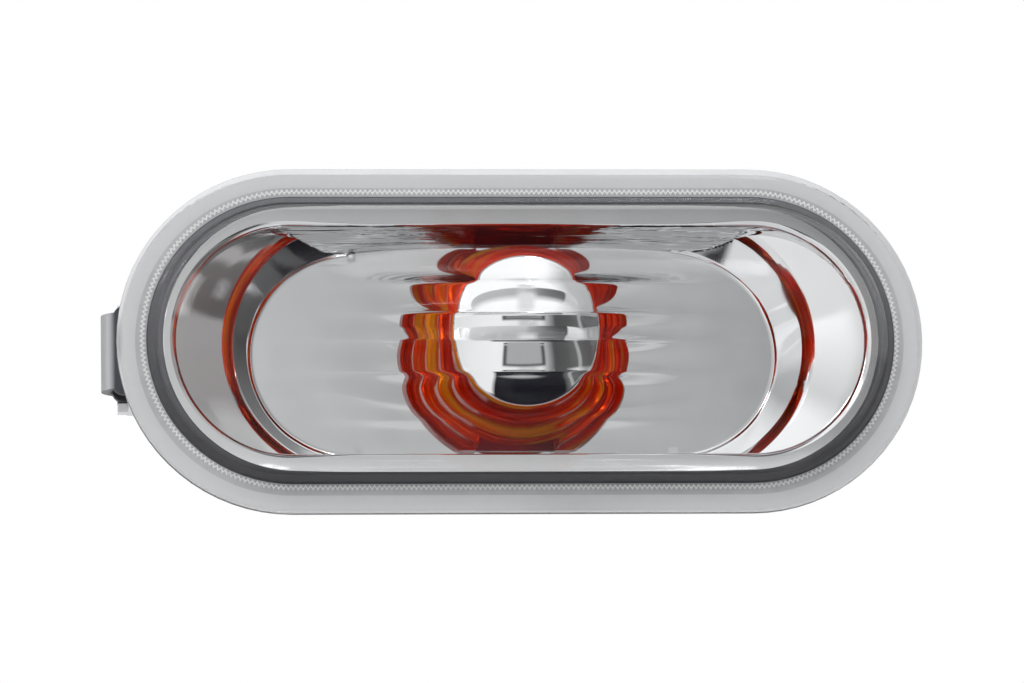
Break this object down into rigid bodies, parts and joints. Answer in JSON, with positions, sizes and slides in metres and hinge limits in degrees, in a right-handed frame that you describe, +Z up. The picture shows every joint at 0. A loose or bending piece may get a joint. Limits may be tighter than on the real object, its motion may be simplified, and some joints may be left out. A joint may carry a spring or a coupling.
{
  "type": "side repeater lamp",
  "caption": "Oval side repeater lamp with a clear fluted lens, bright reflector, amber inner cup, chrome bulb shield and a twist-in bulb holder.",
  "frame": {"origin": "centre of the wing seal's rear face, on the lamp's long and short centre lines", "axes": "+X along the lamp's length, +Y back through the wing, +Z up; the lens looks along -Y"},
  "size_m": [0.0938, 0.0445, 0.0398],
  "materials": {
    "clear_lens": "polished clear acrylic",
    "reflector_metal": "aluminised plastic",
    "amber": "clear amber plastic",
    "shield_chrome": "bright plated",
    "housing_grey": "fine moulded",
    "foam": "closed-cell foam",
    "spring_steel": "rolled strip",
    "holder_plastic": "moulded",
    "seal_rubber": "smooth",
    "contact_brass": "stamped strip",
    "bulb_glass": "clear",
    "lead_wire": "drawn wire",
    "filament_wire": "coiled wire"
  },
  "bodies": {
    "lamp_body": {"outer_lens": "clear_lens", "reflector": "reflector_metal", "amber_cup": "amber", "bulb_shield": "shield_chrome", "housing": "housing_grey", "wing_seal": "foam", "retaining_clip": "spring_steel"},
    "holder": {"bulb_holder": "holder_plastic", "holder_seal": "seal_rubber", "left_contact": "contact_brass", "right_contact": "contact_brass", "bulb_glass": "bulb_glass", "left_lead_wire": "lead_wire", "right_lead_wire": "lead_wire", "filament": "filament_wire"}
  },
  "joints": [
    {"name": "holder_twist", "type": "hinge", "parent": "lamp_body", "child": "holder", "pos_m": [0, 0.0145, 0], "axis": [0, 1, 0], "range_deg": [0, 45]}
  ]
}
